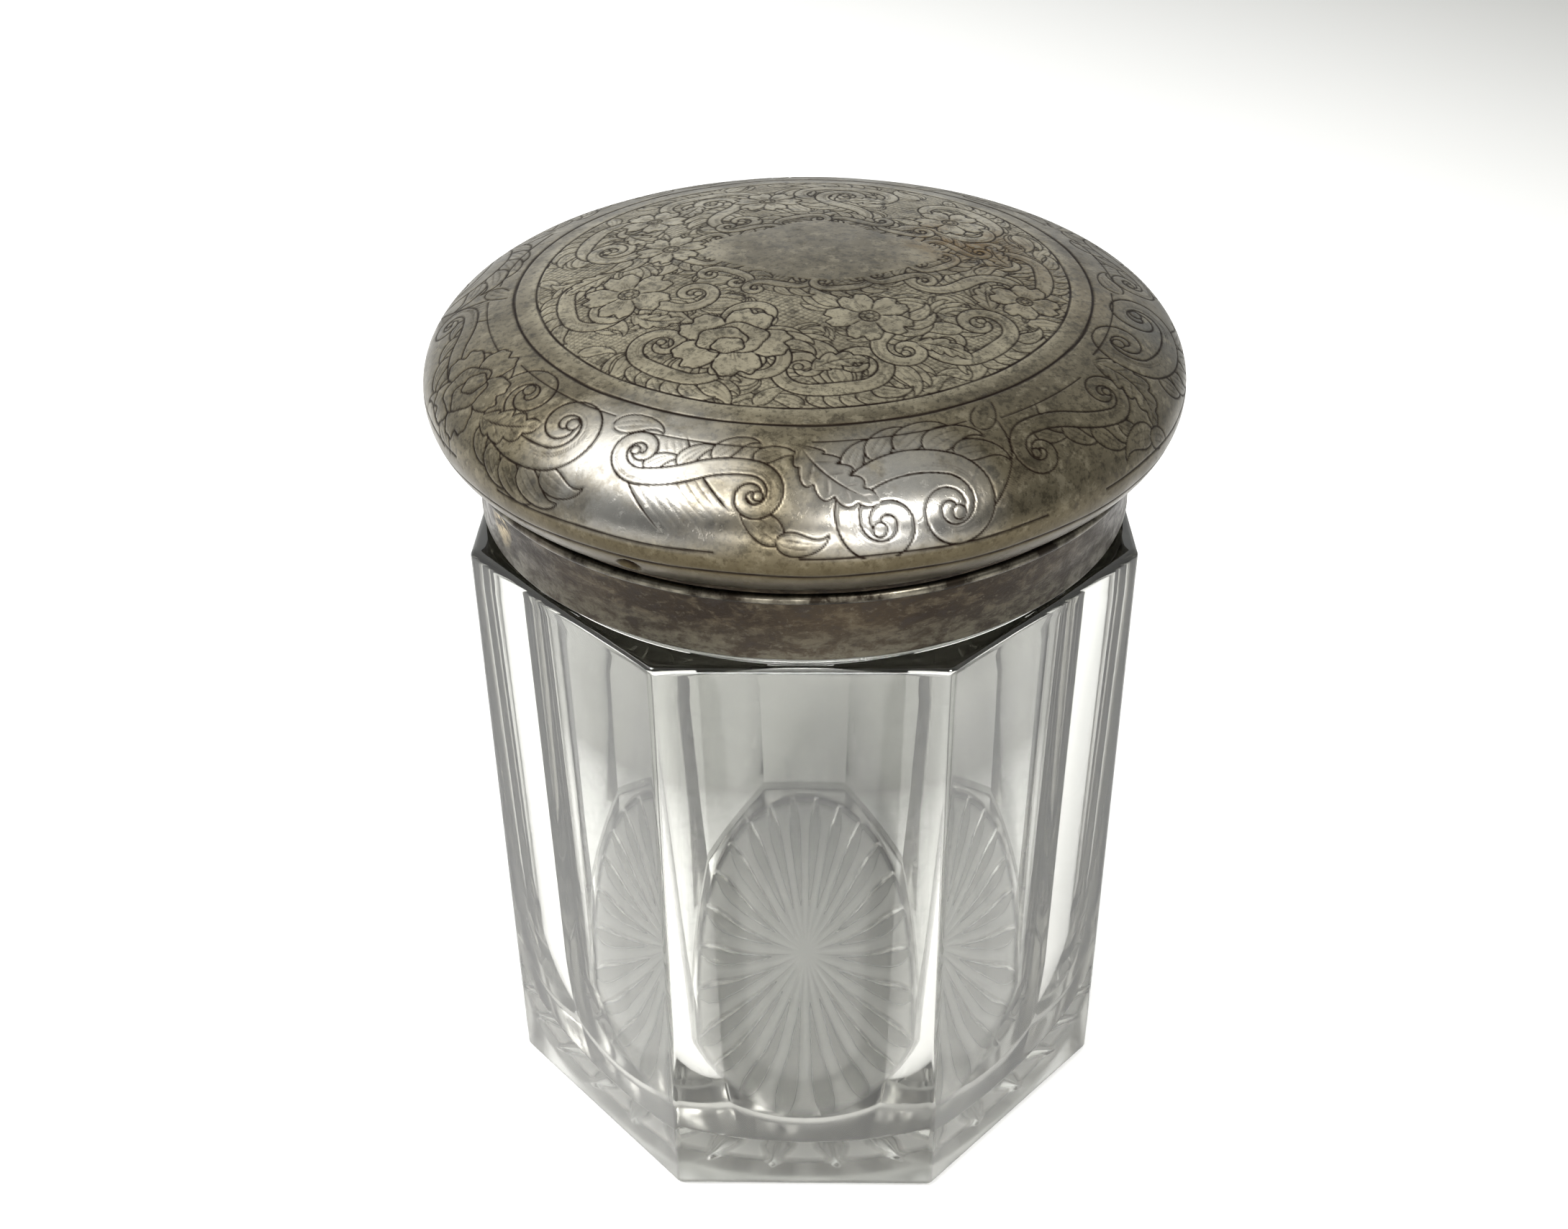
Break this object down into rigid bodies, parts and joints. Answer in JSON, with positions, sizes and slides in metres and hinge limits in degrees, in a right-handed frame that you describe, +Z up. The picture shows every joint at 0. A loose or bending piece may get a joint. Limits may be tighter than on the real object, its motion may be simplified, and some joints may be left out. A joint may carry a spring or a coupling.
{
  "type": "lidded glass dresser jar",
  "caption": "Clear glass dresser jar with flat tapered sides, a round well and a pressed star base, closed by a domed engraved metal lid whose skirt slips over the neck.",
  "frame": {"origin": "centre of the resting face, on the plane that the jar stands on", "axes": "+Z up along the jar's axis to the lid, -Y out of the front flat of the octagon"},
  "size_m": [0.0874, 0.0874, 0.1138],
  "materials": {
    "clear_glass": "clear pressed glass, worn underneath",
    "engraved_metal": "tarnished silver plate with dark engraved lines",
    "tarnished_metal": "heavily tarnished silver plate, brown and patchy",
    "inner_metal": "dull silver plate"
  },
  "bodies": {
    "jar": {"glass_jar": "clear_glass"},
    "lid": {"lid_dome": "engraved_metal", "lid_skirt": "tarnished_metal", "lid_bead": "tarnished_metal", "lid_pan": "inner_metal"}
  },
  "joints": [
    {"name": "lid_lift", "type": "slide", "parent": "jar", "child": "lid", "axis": [0, 0, 1], "range_m": [0, 0.06]}
  ]
}
